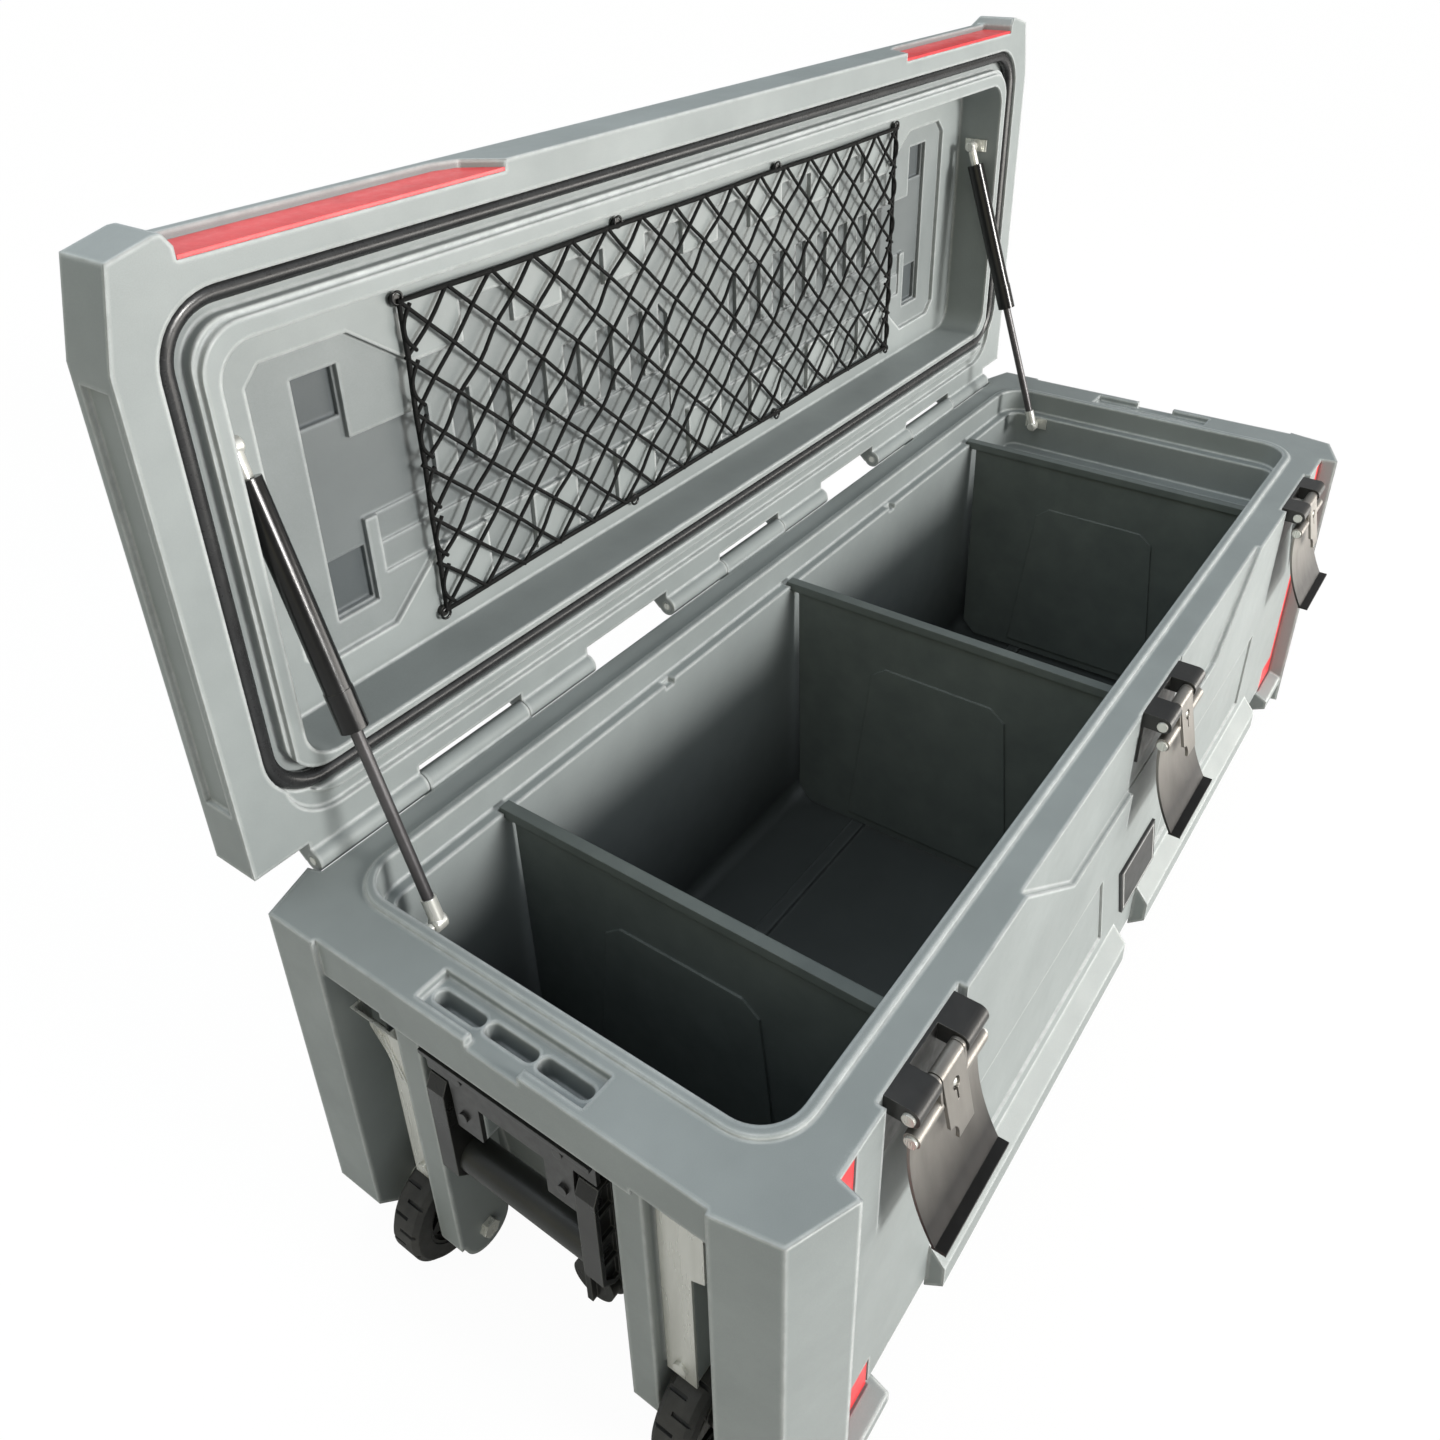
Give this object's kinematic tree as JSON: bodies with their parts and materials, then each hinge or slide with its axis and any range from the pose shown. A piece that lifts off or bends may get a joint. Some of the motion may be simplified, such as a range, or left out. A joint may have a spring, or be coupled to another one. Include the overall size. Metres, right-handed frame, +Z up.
{
  "type": "wheeled tool chest",
  "caption": "Long moulded tool chest on wheels with a hinged lid on gas struts, draw latches, folding end handles, lift-out dividers and a cargo net in the lid.",
  "frame": {"origin": "on the ground under the middle of the whole part's box", "axes": "+X along the length away from the wheels, +Y from the latches to the hinge, +Z up"},
  "size_m": [1.386, 0.6226, 0.906],
  "materials": {
    "grey_plastic": "fine grained satin",
    "dark_plastic": "satin",
    "seal_rubber": "satin",
    "red_plastic": "semi-gloss",
    "net_cord": "knitted elastic cord",
    "black_plastic": "satin",
    "grip_rubber": "matt",
    "tread_rubber": "matt",
    "black_steel": "satin powder coat",
    "strut_steel": "polished black",
    "bright_steel": "zinc plated",
    "badge_black": "semi-gloss"
  },
  "bodies": {
    "body": {"body_shell": "grey_plastic", "hinge_pins": "bright_steel", "body_inserts": "red_plastic", "latch_base_1": "black_steel", "latch_base_2": "black_steel", "latch_base_3": "black_steel", "latch_pin_1": "bright_steel", "latch_pin_2": "bright_steel", "latch_pin_3": "bright_steel", "body_studs": "bright_steel", "handle_plate_1": "black_steel", "handle_plate_2": "black_steel", "handle_screws": "black_steel", "axle_bolts": "bright_steel", "axle_spacers": "bright_steel", "opener_strap": "bright_steel", "plain_strap": "bright_steel", "strap_bolts": "bright_steel", "dome_bolts": "black_steel", "badge_plate": "badge_black"},
    "lid": {"lid_shell": "grey_plastic", "lid_seal": "seal_rubber", "lid_inserts": "red_plastic", "cargo_net": "net_cord", "net_hooks": "black_plastic", "lid_studs": "bright_steel"},
    "strut_1_tube": {"strut_tube_1": "black_steel", "strut_head_1": "bright_steel"},
    "strut_1_rod": {"strut_rod_1": "strut_steel", "strut_foot_1": "bright_steel"},
    "strut_2_tube": {"strut_tube_2": "black_steel", "strut_head_2": "bright_steel"},
    "strut_2_rod": {"strut_rod_2": "strut_steel", "strut_foot_2": "bright_steel"},
    "lever_1": {"latch_lever_1": "black_steel", "lever_pin_1": "bright_steel"},
    "hook_1": {"latch_hook_1": "black_steel"},
    "lever_2": {"latch_lever_2": "black_steel", "lever_pin_2": "bright_steel"},
    "hook_2": {"latch_hook_2": "black_steel"},
    "lever_3": {"latch_lever_3": "black_steel", "lever_pin_3": "bright_steel"},
    "hook_3": {"latch_hook_3": "black_steel"},
    "divider_1": {"divider_1": "dark_plastic"},
    "divider_2": {"divider_2": "dark_plastic"},
    "divider_3": {"divider_3": "dark_plastic"},
    "bail_1": {"handle_bail_1": "black_plastic", "handle_grip_1": "grip_rubber"},
    "wheel_1": {"wheel_tyre_1": "tread_rubber", "wheel_rim_1": "black_plastic"},
    "bail_2": {"handle_bail_2": "black_plastic", "handle_grip_2": "grip_rubber"},
    "wheel_2": {"wheel_tyre_2": "tread_rubber", "wheel_rim_2": "black_plastic"},
    "drain": {"drain_plug": "black_plastic"}
  },
  "joints": [
    {"name": "lid_hinge", "type": "hinge", "parent": "body", "child": "lid", "pos_m": [0.005, 0.23325, 0.392], "axis": [1, 0, 0], "range_deg": [0, 90]},
    {"name": "strut_1_pivot", "type": "hinge", "parent": "lid", "child": "strut_1_tube", "pos_m": [-0.591, 0.26575, 0.743], "axis": [1, 0, 0], "range_deg": [0, 3.06]},
    {"name": "strut_1_stroke", "type": "slide", "parent": "strut_1_tube", "child": "strut_1_rod", "axis": [0, 0.3271, 0.945], "range_m": [0, 0.1543]},
    {"name": "strut_2_pivot", "type": "hinge", "parent": "lid", "child": "strut_2_tube", "pos_m": [0.601, 0.26575, 0.743], "axis": [1, 0, 0], "range_deg": [0, 3.06]},
    {"name": "strut_2_stroke", "type": "slide", "parent": "strut_2_tube", "child": "strut_2_rod", "axis": [0, 0.3271, 0.945], "range_m": [0, 0.1543]},
    {"name": "lever_1_hinge", "type": "hinge", "parent": "body", "child": "lever_1", "pos_m": [-0.497, -0.27525, 0.381], "axis": [1, 0, 0], "range_deg": [-70, 0]},
    {"name": "hook_1_hinge", "type": "hinge", "parent": "lever_1", "child": "hook_1", "pos_m": [-0.497, -0.27525, 0.381], "axis": [1, 0, 0], "range_deg": [-70, 0]},
    {"name": "lever_2_hinge", "type": "hinge", "parent": "body", "child": "lever_2", "pos_m": [0.005, -0.27525, 0.381], "axis": [1, 0, 0], "range_deg": [-70, 0]},
    {"name": "hook_2_hinge", "type": "hinge", "parent": "lever_2", "child": "hook_2", "pos_m": [0.005, -0.27525, 0.381], "axis": [1, 0, 0], "range_deg": [-70, 0]},
    {"name": "lever_3_hinge", "type": "hinge", "parent": "body", "child": "lever_3", "pos_m": [0.507, -0.27525, 0.381], "axis": [1, 0, 0], "range_deg": [-70, 0]},
    {"name": "hook_3_hinge", "type": "hinge", "parent": "lever_3", "child": "hook_3", "pos_m": [0.507, -0.27525, 0.381], "axis": [1, 0, 0], "range_deg": [-70, 0]},
    {"name": "divider_1_slide", "type": "slide", "parent": "body", "child": "divider_1", "axis": [0, 0, 1], "range_m": [0, 0.022]},
    {"name": "divider_2_slide", "type": "slide", "parent": "body", "child": "divider_2", "axis": [0, 0, 1], "range_m": [0, 0.022]},
    {"name": "divider_3_slide", "type": "slide", "parent": "body", "child": "divider_3", "axis": [0, 0, 1], "range_m": [0, 0.022]},
    {"name": "bail_1_hinge", "type": "hinge", "parent": "body", "child": "bail_1", "pos_m": [-0.66, -0.02125, 0.293], "axis": [0, 1, 0], "range_deg": [0, 80]},
    {"name": "wheel_1_spin", "type": "hinge", "parent": "body", "child": "wheel_1", "pos_m": [-0.639, -0.16625, 0.054], "axis": [0, 1, 0], "continuous": true},
    {"name": "bail_2_hinge", "type": "hinge", "parent": "body", "child": "bail_2", "pos_m": [0.67, -0.02125, 0.293], "axis": [0, 1, 0], "range_deg": [-80, 0]},
    {"name": "wheel_2_spin", "type": "hinge", "parent": "body", "child": "wheel_2", "pos_m": [-0.639, 0.12375, 0.054], "axis": [0, 1, 0], "continuous": true},
    {"name": "drain_turn", "type": "hinge", "parent": "body", "child": "drain", "pos_m": [-0.605, -0.03125, 0.046], "axis": [1, 0, 0], "continuous": true}
  ],
  "couplings": [
    {"joint": "strut_1_pivot", "follows": "lid_hinge", "ratio": 0.033795},
    {"joint": "strut_1_stroke", "follows": "lid_hinge", "m_per_rad": 0.098118},
    {"joint": "strut_2_pivot", "follows": "lid_hinge", "ratio": 0.033795},
    {"joint": "strut_2_stroke", "follows": "lid_hinge", "m_per_rad": 0.098118}
  ]
}
